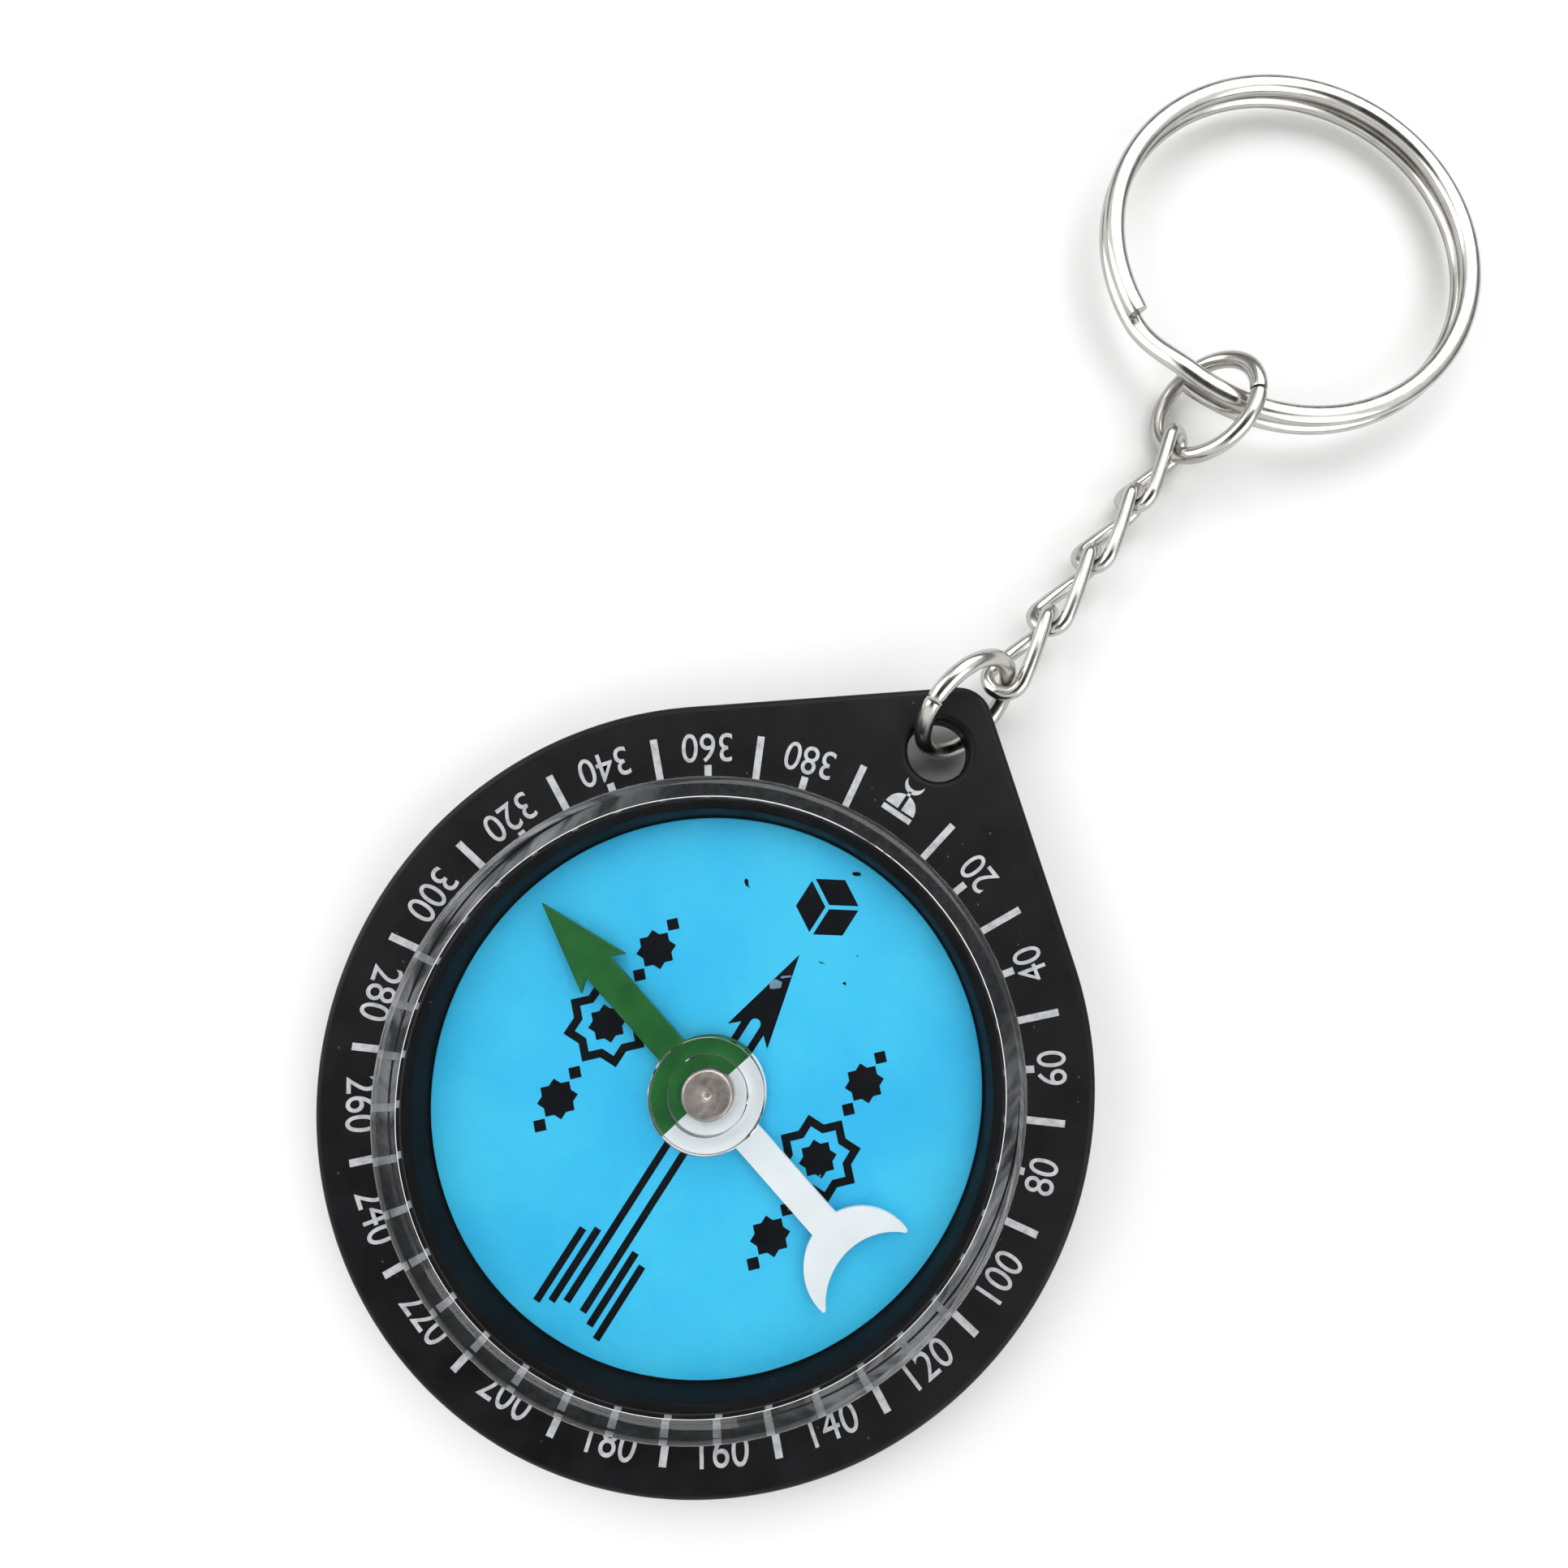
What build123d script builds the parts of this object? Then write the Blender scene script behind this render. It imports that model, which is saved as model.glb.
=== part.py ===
from build123d import *
import os
from math import asin, cos, pi, radians, sin, sqrt

# A key-chain compass that lies on a table: a drop-shaped base with a printed dial,
# a pivoted needle under a clear lens, and a short twisted chain with a split ring.
# The origin is on the compass axis at the resting plane, +Y runs to the chain, +Z up.
# All lengths are in millimetres, all angles in degrees.

# Base plate
body_radius = 22.5
tip_radius = 2.1
tip_web = 2.5              # material between the lanyard hole and the tip
plate_thickness = 2.5
plate_edge_round = 0.4
foot_height = 1.6          # lifts the tip so that the jump ring passes below it
foot_radius = 20.0
foot_rim_width = 2.4
foot_recess_depth = 0.9
foot_pad_radius = 4.0      # solid pad under the pivot
hole_offset = 23.8         # compass axis to lanyard hole
hole_play = 0.66           # lanyard hole round the leaning jump ring
platform_height = 0.6      # round step inside the lens that carries the dial

# Lens
lens_radius = 17.7
lens_wall = 1.1
lens_headroom = 0.25       # lens to bearing cup
lens_top_thickness = 1.2
lens_edge_round = 0.5
lens_seat_clearance = 0.1
boss_play = 0.75           # boss round the bearing cup
boss_wall = 0.95
boss_clearance = 0.25      # boss to needle

# Dial
dial_margin = 1.0          # dial edge to the platform's edge
dial_thickness = 0.3
dial_fit = 0.05            # dial to the collar round it
collar_clearance = 0.15    # collar to the lens above it
collar_flare = 0.3         # how far the collar's inside opens upwards

# Pivot, needle and bearing
pin_radius = 0.5
pin_embedment = 2.2
pin_tip_radius = 0.08
pin_point_length = 0.45
bearing_clearance = 0.05
cup_radius = 1.45
cup_height = 0.75
cup_wall = 0.35
cup_skirt = 0.25           # cup below the blade
cup_edge_round = 0.2
needle_heading = 166.0     # arrow direction, from +X
needle_lift = 0.6          # blade above the dial
needle_thickness = 0.3
needle_hub_radius = 3.2
needle_shaft_width = 1.75
arrow_margin = 1.2         # arrow tip to the dial's edge
arrow_length = 4.9
arrow_width = 3.3
arrow_barb = 0.5           # how far the barbs sweep back
crescent_margin = 2.05     # horns to the dial's edge
crescent_depth = 3.95      # horns to the crescent's back
crescent_radius = 3.18
crescent_cut_radius = 3.71
crescent_thickness = 2.1

# Chain of twisted links
link_count = 4
link_wire = 0.94
link_half_length = 3.18    # of the wire's centreline
link_half_width = 1.28
link_twist = 90.0
link_roll = 65.0           # roll of the first link about the chain
link_roll_step = 7.0
link_play = 0.22
chain_heading = -2.0       # from +Y
chain_floor_gap = 0.17

# Jump rings
ring_wire = 1.1
ring_radius = 3.5          # of the wire's centreline
ring_seam = 3.0            # degrees of the open seam
lower_ring_seam_at = 120.0
upper_ring_seam_at = 10.0
ring_floor_gap = 0.03
lower_ring_lean = 63.5     # from flat
lower_ring_heading = -13.5
lower_ring_cross_drop = 0.8    # where the wire meets the hole's axis, below mid plate
lower_ring_cross_out = 0.3
hook_angle = -13.4         # where link 1 hangs on the lower ring
hook_play = 0.2
upper_ring_heading = 16.0
upper_hook_play = 0.3

# Split ring
split_wire = 1.4
split_radius = 12.55       # of the wire's centreline
split_turn_gap = 0.42
split_gap_start = -94.4    # the stretch where only one turn lies
split_gap_end = -119.4
split_offset_x = 1.0
split_band_play = 0.3
split_band_inset = 1.0     # band beyond the upper ring's centre
split_lift = 0.16
split_hinge_drop = 0.9     # lifting axis below the middle of the band

# Heights worked out from the base up
plate_top = foot_height + plate_thickness
platform_top = plate_top + platform_height
dial_top = platform_top + dial_thickness
blade_bottom = dial_top + needle_lift
blade_top = blade_bottom + needle_thickness
cup_top = blade_top + cup_height
lens_under = cup_top + lens_headroom
lens_top = lens_under + lens_top_thickness
lens_height = lens_top - plate_top
collar_height = lens_under - collar_clearance - platform_top

# Radii worked out from their neighbours
lens_inner_radius = lens_radius - lens_wall
platform_radius = lens_inner_radius - lens_seat_clearance
dial_radius = platform_radius - dial_margin
arrow_reach = dial_radius - arrow_margin
crescent_reach = dial_radius - crescent_margin
crescent_back = crescent_reach - crescent_depth
bore_radius = pin_radius + bearing_clearance
cup_neck_radius = bore_radius + cup_wall
dial_hole_radius = cup_neck_radius
boss_inner_radius = cup_radius + boss_play
link_wire_radius = link_wire / 2
ring_wire_radius = ring_wire / 2
split_wire_radius = split_wire / 2
lean = radians(lower_ring_lean)
hole_radius = (ring_wire_radius + plate_thickness / 2 * cos(lean)) / sin(lean) + hole_play
tip_centre = hole_offset + hole_radius + tip_web - tip_radius
link_pitch = 2 * link_half_length - link_wire - link_play


def disc(radius, bottom, height):
    return Pos(0, 0, bottom) * extrude(Circle(radius), height)


def tube_along(edges, wire_radius):
    """Round wire swept along a chain of tangent arcs."""
    path = Wire(edges)
    section = Plane(origin=path @ 0, z_dir=path % 0) * Circle(wire_radius)
    return sweep(section, path=path, clean=False)


def biarc(start, start_tangent, end, end_tangent):
    """Two arcs that leave start and reach end along the given directions."""
    chord = end - start
    t0, t1 = start_tangent.normalized(), end_tangent.normalized()
    bend = 2 * (1 - t0.dot(t1))
    lean = 2 * chord.dot(t0 + t1)
    size = chord.dot(chord)
    if bend < 1e-9:
        reach = size / lean
    else:
        reach = (sqrt(lean * lean + 4 * bend * size) - lean) / (2 * bend)
    middle = (start + t0 * reach + end - t1 * reach) * 0.5
    first = TangentArc(start, middle, tangent=t0)
    return [first, TangentArc(middle, end, tangent=first % 1)]


# Base plate


def drop_outline():
    """Round body and round tip joined by their common tangents."""
    side = asin((body_radius - tip_radius) / tip_centre)
    normal = Vector(cos(side), sin(side))
    tip = Vector(0, tip_centre)
    right = [normal * body_radius, tip + normal * tip_radius]
    left = [Vector(-point.X, point.Y) for point in reversed(right)]
    wedge = make_face(Polyline(*right, *left, close=True))
    return Circle(body_radius) + wedge + Pos(0, tip_centre) * Circle(tip_radius)


def collar():
    """Raised ring round the dial, its inside opening upwards."""
    foot = dial_radius + dial_fit
    low_end = (Align.CENTER, Align.CENTER, Align.MIN)
    funnel = Cone(foot, foot + collar_flare, collar_height, align=low_end)
    return disc(platform_radius, platform_top, collar_height) - Pos(0, 0, platform_top) * funnel


def base_plate():
    plate = Pos(0, 0, foot_height) * extrude(drop_outline(), plate_thickness)
    rim = plate.edges().group_by(Axis.Z)[-1] + plate.edges().group_by(Axis.Z)[0]
    plate = fillet(rim, plate_edge_round)
    foot = disc(foot_radius, 0, foot_height)
    recess = disc(foot_radius - foot_rim_width, 0, foot_recess_depth)
    recess -= disc(foot_pad_radius, 0, foot_recess_depth)
    platform = disc(platform_radius, plate_top, platform_height)
    hole = Pos(0, hole_offset) * disc(hole_radius, 0, lens_top)
    pin_seat = disc(pin_radius, platform_top - pin_embedment, pin_embedment)
    return plate + foot + platform + collar() - recess - hole - pin_seat


def dial_disc():
    card = disc(dial_radius, platform_top, dial_thickness)
    return card - disc(dial_hole_radius, platform_top, dial_thickness)


def lens():
    """Clear cap: wall, flat top and the hollow boss that traps the bearing."""
    body = disc(lens_radius, plate_top, lens_height)
    body = fillet(body.edges().group_by(Axis.Z)[-1], lens_edge_round)
    cavity = disc(lens_inner_radius, plate_top, lens_height - lens_top_thickness)
    boss_bottom = blade_top + boss_clearance
    boss_height = lens_under - boss_bottom
    boss = disc(boss_inner_radius + boss_wall, boss_bottom, boss_height)
    boss -= disc(boss_inner_radius, boss_bottom, boss_height)
    return body - cavity + boss


# Needle and its bearing


def pivot_pin():
    cone_tip = cup_top - cup_wall - bearing_clearance
    cone_base = cone_tip - pin_point_length
    foot = platform_top - pin_embedment
    outline = Polyline(
        (0, foot),
        (pin_radius, foot),
        (pin_radius, cone_base),
        (pin_tip_radius, cone_tip),
        (0, cone_tip),
        close=True,
    )
    return revolve(make_face(Plane.XZ * outline), Axis.Z)


def bearing_cup():
    """Cap above the blade and neck through it, with a blind bore over the pin."""
    cup = disc(cup_radius, blade_top, cup_height)
    cup = fillet(cup.edges().group_by(Axis.Z)[-1], cup_edge_round)
    neck_bottom = blade_bottom - cup_skirt
    neck = disc(cup_neck_radius, neck_bottom, blade_top - neck_bottom)
    bore_top = cup_top - cup_wall
    return cup + neck - disc(bore_radius, neck_bottom, bore_top - neck_bottom)


def needle_blade():
    """Arrow towards +X, crescent towards -X, then turned to its heading."""
    half_shaft = needle_shaft_width / 2
    head_base = arrow_reach - arrow_length
    arrow = make_face(
        Polyline(
            (0, -half_shaft),
            (head_base, -half_shaft),
            (head_base - arrow_barb, -arrow_width / 2),
            (arrow_reach, 0),
            (head_base - arrow_barb, arrow_width / 2),
            (head_base, half_shaft),
            (0, half_shaft),
            close=True,
        )
    )
    moon = Pos(-crescent_back - crescent_radius, 0) * Circle(crescent_radius)
    cut_centre = crescent_back + crescent_thickness + crescent_cut_radius
    moon = (moon - Pos(-cut_centre, 0) * Circle(crescent_cut_radius)) & Circle(crescent_reach)
    stem = Pos(-crescent_back / 2 - crescent_thickness / 4, 0) * Rectangle(
        crescent_back + crescent_thickness / 2, needle_shaft_width
    )
    outline = Circle(needle_hub_radius) + arrow + moon + stem - Circle(cup_neck_radius)
    blade = extrude(outline, needle_thickness)
    return Pos(0, 0, blade_bottom) * Rot(0, 0, needle_heading) * blade


# Chain and rings


def jump_ring(centre, along, up, seam_angle):
    """One turn of wire with a fine seam, in the plane of two directions."""
    frame = Plane(origin=centre, x_dir=along, z_dir=along.cross(up))
    section = Rot(0, 0, seam_angle) * (Plane.XZ * (Pos(ring_radius, 0) * Circle(ring_wire_radius)))
    return frame * revolve(section, Axis.Z, 360 - ring_seam)


def link_stations():
    """Plan points and directions of a link: two legs and two half-round ends."""
    straight = link_half_length - link_half_width
    ends = [k * pi / 4 for k in range(5)]
    plan = []
    for side in (1, -1):
        for angle in ends:
            across, along = cos(angle) * side, sin(angle) * side
            point = (link_half_width * across, straight * side + link_half_width * along)
            plan.append((point, (-along, across)))
        plan.append(((-link_half_width * side, 0), (0, -side)))
    return plan


def twisted(plan_point, plan_direction, roll):
    """Puts a plan point on the twisted strip and turns its direction with it."""
    across, along = plan_point
    rate = radians(link_twist) / (2 * link_half_length)
    turn = radians(roll) + rate * along
    d_across, d_along = plan_direction
    spin = across * rate * d_along
    point = Vector(across * cos(turn), along, across * sin(turn))
    direction = Vector(
        d_across * cos(turn) - spin * sin(turn), d_along, d_across * sin(turn) + spin * cos(turn)
    )
    return point, direction


def chain_link(index):
    """One closed wire link, laid along the chain at its place."""
    roll = link_roll + link_roll_step * index
    stations = [twisted(point, direction, roll) for point, direction in link_stations()]
    edges = []
    for here, after in zip(stations, stations[1:] + stations[:1]):
        edges += biarc(*here, *after)
    half = len(edges) // 2
    link = tube_along(edges[:half], link_wire_radius).fuse(tube_along(edges[half:], link_wire_radius))
    centre = chain_foot + chain_axis * (link_half_length + link_pitch * index)
    return Plane(origin=centre, x_dir=chain_side, z_dir=chain_side.cross(chain_axis)) * link


def coil_edges():
    """Two flat turns of the split ring and the slope between them, about its centre."""
    half_step = (split_wire + split_turn_gap) / 2
    sweep_angle = 360 + split_gap_end - split_gap_start
    quarter = sweep_angle / 4

    def at(angle, height):
        return Vector(split_radius * cos(radians(angle)), split_radius * sin(radians(angle)), height)

    def heading(angle):
        return Vector(sin(radians(angle)), -cos(radians(angle)))

    def flat_turn(start, height):
        spots = [at(start - quarter * k / 2, height) for k in range(9)]
        return [ThreePointArc(*spots[k : k + 3]) for k in range(0, 8, 2)]

    slope = biarc(
        at(split_gap_start, half_step),
        heading(split_gap_start),
        at(split_gap_end, -half_step),
        heading(split_gap_end),
    )
    upper = flat_turn(split_gap_start + sweep_angle, half_step)
    return upper + slope + flat_turn(split_gap_end, -half_step)


def coil_self_gap(edges):
    """Least clear gap between the coil's turns, measured on points along it."""
    samples = 24
    spots = [edge @ (k / samples) for edge in edges for k in range(samples)]
    arc_step = 3 * split_wire
    lengths = [0.0]
    for here, after in zip(spots, spots[1:]):
        lengths.append(lengths[-1] + (after - here).length)
    least = min(
        (spots[i] - spots[j]).length
        for i in range(len(spots))
        for j in range(i)
        if lengths[i] - lengths[j] > arc_step
    )
    return least - split_wire


def split_ring():
    edges = coil_edges()
    print("split ring: least gap to itself %.3f mm" % coil_self_gap(edges))
    frame = Plane(origin=split_centre, x_dir=(1, 0, 0), z_dir=split_normal)
    return frame * tube_along(edges, split_wire_radius)


# Lower jump ring: leans through the lanyard hole and round the tip's web
turn = radians(lower_ring_heading)
lower_along = Vector(-sin(turn), cos(turn))
lower_up = Vector(-cos(lean) * cos(turn), -cos(lean) * sin(turn), sin(lean))
lower_height = ring_wire_radius + ring_floor_gap + ring_radius * sin(lean)
cross_height = foot_height + plate_thickness / 2 - lower_ring_cross_drop
cross_up = (cross_height - lower_height) / sin(lean)
cross_along = -sqrt(ring_radius**2 - cross_up**2)
cross_shift = lower_along * cross_along + lower_up * cross_up
lower_centre = Vector(0, hole_offset + lower_ring_cross_out, cross_height) - cross_shift

# Chain: hangs on the lower ring and comes down to the table at its last link
hook = radians(hook_angle)
hook_point = lower_centre + (lower_along * cos(hook) + lower_up * sin(hook)) * ring_radius
hook_reach = ring_wire_radius + link_wire_radius + hook_play
chain_end_height = link_half_width + link_wire_radius + chain_floor_gap
chain_run = link_half_length + link_pitch * (link_count - 1) - hook_reach
dip = asin((chain_end_height - hook_point.Z) / chain_run)
head = radians(chain_heading)
chain_side = Vector(cos(head), sin(head))
chain_axis = Vector(-sin(head) * cos(dip), cos(head) * cos(dip), sin(dip))
chain_foot = hook_point - chain_axis * hook_reach

# Upper jump ring: low side on the table under the split ring, high side over it
band_height = 2 * split_wire + split_turn_gap
band_room = band_height + ring_wire + 2 * split_band_play
tilt = asin(band_room / (2 * sqrt(ring_radius**2 - split_band_inset**2)))
turn = radians(upper_ring_heading)
upper_along = Vector(cos(tilt) * cos(turn), cos(tilt) * sin(turn), sin(tilt))
upper_up = Vector(-sin(turn), cos(turn))
upper_height = ring_wire_radius + ring_floor_gap + ring_radius * sin(tilt)
chain_end = chain_foot + chain_axis * (2 * link_half_length + link_pitch * (link_count - 1))
upper_hook = chain_end - chain_axis * (link_wire_radius + ring_wire_radius + upper_hook_play)
hook_cos = (upper_hook.Z - upper_height) / (ring_radius * sin(tilt))
hook_sin = -sqrt(1 - hook_cos**2)
upper_centre = upper_hook - (upper_along * hook_cos + upper_up * hook_sin) * ring_radius

# Split ring: its band passes through the upper ring, its far side lies on the table
band_y = upper_centre.Y + split_band_inset
near_height = upper_centre.Z + split_lift
far_height = ring_floor_gap + band_height / 2
slope = (near_height - far_height) / (2 * split_radius)
split_y = band_y + sqrt(split_radius**2 - (upper_centre.X - split_offset_x) ** 2)
split_centre = Vector(split_offset_x, split_y, far_height + slope * split_radius)
split_normal = Vector(0, slope, 1).normalized()

pieces = {
    "base_plate": base_plate(),
    "dial_disc": dial_disc(),
    "lens": lens(),
    "pivot_pin": pivot_pin(),
    "needle_blade": needle_blade(),
    "bearing_cup": bearing_cup(),
    "lower_jump_ring": jump_ring(lower_centre, lower_along, lower_up, lower_ring_seam_at),
    "upper_jump_ring": jump_ring(upper_centre, upper_along, upper_up, upper_ring_seam_at),
    "split_ring": split_ring(),
}
for index in range(link_count):
    pieces["chain_link_%d" % (index + 1)] = chain_link(index)

os.makedirs("parts", exist_ok=True)
for name, piece in pieces.items():
    export_step(piece, "parts/%s.step" % name)

# Places of the joints
for label, point in (
    ("lower ring", Vector(0, hole_offset, plate_top)),
    ("link 1", hook_point),
    ("upper ring", upper_hook),
    ("split ring lift", Vector(upper_centre.X, band_y, near_height - split_hinge_drop)),
    ("split ring centre", split_centre),
):
    print("%s: %.3f %.3f %.3f" % (label, *point))
for index in range(1, link_count):
    apex = chain_foot + chain_axis * (2 * link_half_length + link_pitch * (index - 1) - link_wire_radius)
    print("link %d: %.3f %.3f %.3f" % (index + 1, *apex))
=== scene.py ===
from math import acos, asin, cos, degrees, pi, radians, sin, sqrt

import bmesh
import bpy
from mathutils import Matrix, Vector


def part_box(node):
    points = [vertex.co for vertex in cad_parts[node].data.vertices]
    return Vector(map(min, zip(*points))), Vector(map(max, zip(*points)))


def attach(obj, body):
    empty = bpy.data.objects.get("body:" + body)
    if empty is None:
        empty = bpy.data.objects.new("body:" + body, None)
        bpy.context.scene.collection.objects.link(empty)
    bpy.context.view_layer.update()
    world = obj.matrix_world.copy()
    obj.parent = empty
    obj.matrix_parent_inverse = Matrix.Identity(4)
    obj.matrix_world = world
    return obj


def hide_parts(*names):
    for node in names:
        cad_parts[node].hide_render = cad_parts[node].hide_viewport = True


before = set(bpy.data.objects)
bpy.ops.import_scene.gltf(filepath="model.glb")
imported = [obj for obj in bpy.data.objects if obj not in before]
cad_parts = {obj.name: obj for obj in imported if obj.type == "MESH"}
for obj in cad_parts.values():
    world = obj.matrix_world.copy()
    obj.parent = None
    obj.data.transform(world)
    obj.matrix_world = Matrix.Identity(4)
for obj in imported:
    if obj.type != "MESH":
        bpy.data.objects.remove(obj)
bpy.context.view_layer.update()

# Looks of a key-chain compass. Names in capitals are lengths in millimetres, angles in degrees,
# marks of the scale or plain shares, and MM makes lengths into metres where a mesh is built.
# +Y runs to the chain, +Z up, and the compass axis is at x = y = 0.
MM = 0.001

# Heights that the solids give
PLATE_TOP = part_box("lens")[0].z / MM
LENS_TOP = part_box("lens")[1].z / MM
PLATFORM_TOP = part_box("dial_disc")[0].z / MM
COLLAR_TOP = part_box("base_plate")[1].z / MM
DIAL_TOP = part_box("dial_disc")[1].z / MM
BLADE_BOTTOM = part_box("needle_blade")[0].z / MM
BLADE_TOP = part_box("needle_blade")[1].z / MM
CUP_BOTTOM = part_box("bearing_cup")[0].z / MM
CUP_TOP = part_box("bearing_cup")[1].z / MM

# Narrow flat band beside a rounded rim, which keeps its shading off the flat
BAND = 0.03

# Base
BODY_R = 22.5
TIP_R = 2.1
TIP_Y = 26.1
HOLE_Y = 23.8
HOLE_R = 1.9
PLATE_BOTTOM = 1.6
PLATE_EDGE = 0.4
FOOT_R = 20.0
FOOT_RIM = 2.4
FOOT_RECESS = 0.9
FOOT_PAD_R = 4.0
PLATFORM_R = 16.5
BASE_SOFT = 0.15
COLLAR_FLARE = 0.3
COLLAR_LIP = ((0.12, 0), (0.04, 0.03), (-0.01, 0.12))

# Lens
LENS_R = 17.7
LENS_WALL = 1.1
LENS_PLATE = 1.2
LENS_EDGE = 0.5
LENS_LIFT = 0.03
LENS_SOFT = 0.05
BOND_INSET = 0.06
# Distances aside from the axis over which the bond's painted silvery sheen fades in
BOND_SHEEN_START = 11.5
BOND_SHEEN_FULL = 16.0
BOSS_R = 3.15
BOSS_WALL = 0.95
BOSS_GAP = 0.25

# Dial and needle
DIAL_R = 15.5
DIAL_FIT = 0.05
DIAL_EDGE = 0.05
NECK_R = 0.9
CUP_R = 1.45
CUP_BORE = 0.55
CUP_SOFT = 0.2
CUP_ROOF = 0.35
CUP_DIMPLE = ((0, 0.1), (0.18, 0.06), (0.32, 0))
NEEDLE_EDGE = 0.05
NEEDLE_HEADING = 166
HUB_R = 3.2
SHAFT_W = 1.75
ARROW_REACH = 14.3
ARROW_LENGTH = 4.9
ARROW_W = 3.3
ARROW_BARB = 0.5
HORN_REACH = 13.45
MOON_BACK = 9.5
MOON_R = 3.18
MOON_CUT_R = 3.71
MOON_THICK = 2.1

# Printing
INK = 0.012
SCALE_END = 400
SCALE_STEP = 20
LONG_TICK_END = 20.7
SHORT_TICK_END = 18.8
TICK_START = 17.75
LADDER_START = 17.0
LADDER_FIRST = 110
LADDER_LAST = 290
TICK_W = 0.42
NUMBER_R = 19.85
NUMBER_H = 1.75
NUMBER_SQUEEZE = 0.86
NUMBER_WEIGHT = 0.0015
ZERO_Y = 18.95
DRUM_HALF_W = 1.0
DRUM_H = 0.35
DOME_LIFT = 0.5
DOME_R = 0.98
DOME_SLIT = 0.12
DOME_ARC = 83
CRESCENT_LIFT = 1.75
CRESCENT_R = 0.62
CRESCENT_ARC = (160, 380)
CRESCENT_CUT_LIFT = 0.3
CRESCENT_CUT_R = 0.6
CRESCENT_CUT_ARC = (350, 190)
FINIAL_W = 0.2
FINIAL_START = 0.95
FINIAL_END = 1.25
STAR_X = 7.1
STAR_R = 2.5
STAR_HOLE_R = 1.85
STAR_CORE_R = 1.1
SMALL_STAR_Y = 4.9
SMALL_STAR_R = 1.15
DIAMOND_PLACES = (3.2, 6.6)
DIAMOND_R = 0.45
PRINT_TURN = 1.3
PRINT_SHIFT = 0.1
DIAL_SPECKS = (
    [(-5.2, 10.95), (-5.0, 10.92), (-4.82, 10.68), (-4.6, 10.62), (-4.95, 10.58), (-5.16, 10.72)],
    [(0.98, 9.3), (1.2, 9.38), (1.46, 9.4), (1.2, 9.29)],
    [(2.62, 10.78), (2.76, 10.86), (2.8, 10.76)],
    [(2.84, 9.02), (2.98, 9.22), (3.14, 9.04)],
    [(-0.2, 14.68), (0.02, 14.86), (0.24, 14.9), (0.3, 14.76), (0.06, 14.58), (-0.16, 14.54)],
)
WORN_SPOTS = (
    [(-0.68, 6.78), (-0.46, 7.12), (-0.06, 7.18), (0.06, 6.88), (-0.24, 6.6), (-0.42, 6.5)],
    [(-0.3, 7.42), (0.16, 7.78), (0.22, 7.72), (-0.22, 7.32)],
)

# Wires
LINK_WIRE_R = 0.47
LINK_HALF_LENGTH = 3.18
LINK_HALF_WIDTH = 1.28
LINK_TWIST = 90
LINK_ROLL = 65
LINK_ROLL_STEP = 7
LINK_COUNT = 4
RING_R = 3.5
RING_WIRE_R = 0.55
RING_SEAM = 3
LOWER_LEAN = 63.5
LOWER_HEADING = -13.5
LOWER_SEAM_AT = 120
UPPER_TILT = 47.3
UPPER_HEADING = 16
UPPER_SEAM_AT = 10
WIRE_END_ROUND = 0.06
SPLIT_R = 12.55
SPLIT_HALF_WIDTH = 0.7
SPLIT_HALF_HEIGHT = 0.5
SPLIT_TURN = 1.05
SPLIT_SLOPE = 0.0665
SPLIT_GAP_START = -94.4
SPLIT_GAP_END = -119.4
SPLIT_END_SIZE = 0.93

# Studio: softboxes have a name, place, aim, width and power, and the sky a grey by height
FLOOR_HALF = 3000
SOFTBOXES = (
    ("key_light", (-60, 300, 320), (0, 30, 0), 420, 1.7),
    ("fill_light", (300, -40, 240), (0, 20, 0), 360, 0.8),
    ("side_light", (-300, -60, 190), (0, 0, 0), 300, 0.8),
)
SKY_AXIS = (0, -0.25, 0.968)
SKY = ((0.06, 0.2), (0.42, 1.2), (0.76, 1.2), (0.93, 0.05))

# Camera fitted to the photograph
EYE = (0.2342, 13.04, 63.0)
EYE_RIGHT = (0.8309, 0.55358, 0.05632)
EYE_DOWN = (0.55617, -0.82309, -0.11496)
EYE_AHEAD = (-0.01728, 0.12685, -0.99178)
SENSOR = 36
FOCAL = 22.443
SHIFT_X = -0.0732
SHIFT_Y = 0.0016
CLIP_START = 5


# Mesh helpers


def add_object(name, bm, material, smooth_angle=35):
    """Finishes a bmesh in millimetres as an object in metres."""
    bmesh.ops.recalc_face_normals(bm, faces=bm.faces)
    bmesh.ops.scale(bm, vec=(MM, MM, MM), verts=bm.verts)
    mesh = bpy.data.meshes.new(name)
    bm.to_mesh(mesh)
    bm.free()
    mesh.shade_smooth()
    mesh.set_sharp_from_angle(angle=radians(smooth_angle))
    mesh.materials.append(material)
    obj = bpy.data.objects.new(name, mesh)
    bpy.context.scene.collection.objects.link(obj)
    return obj


def bridge(bm, ring, after):
    """Quads between two closed rings with the same number of points."""
    for k in range(len(ring)):
        j = (k + 1) % len(ring)
        bm.faces.new((ring[k], ring[j], after[j], after[k]))


def lathe(bm, profile, steps=192):
    """Closed solid of revolution about Z from (radius, height) points, axis to axis or a loop."""
    rings = []
    for radius, height in profile:
        if radius == 0:
            rings.append([bm.verts.new((0, 0, height))])
        else:
            turns = [2 * pi * k / steps for k in range(steps)]
            rings.append([bm.verts.new((radius * cos(a), radius * sin(a), height)) for a in turns])
    loop = len(rings[0]) > 1
    pairs = list(zip(rings, rings[1:] + rings[:1] if loop else rings[1:]))
    for ring, after in pairs:
        if len(ring) == 1 or len(after) == 1:
            centre, rim = (ring[0], after) if len(ring) == 1 else (after[0], ring)
            for k in range(steps):
                bm.faces.new((centre, rim[k], rim[(k + 1) % steps]))
        else:
            bridge(bm, ring, after)


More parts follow.
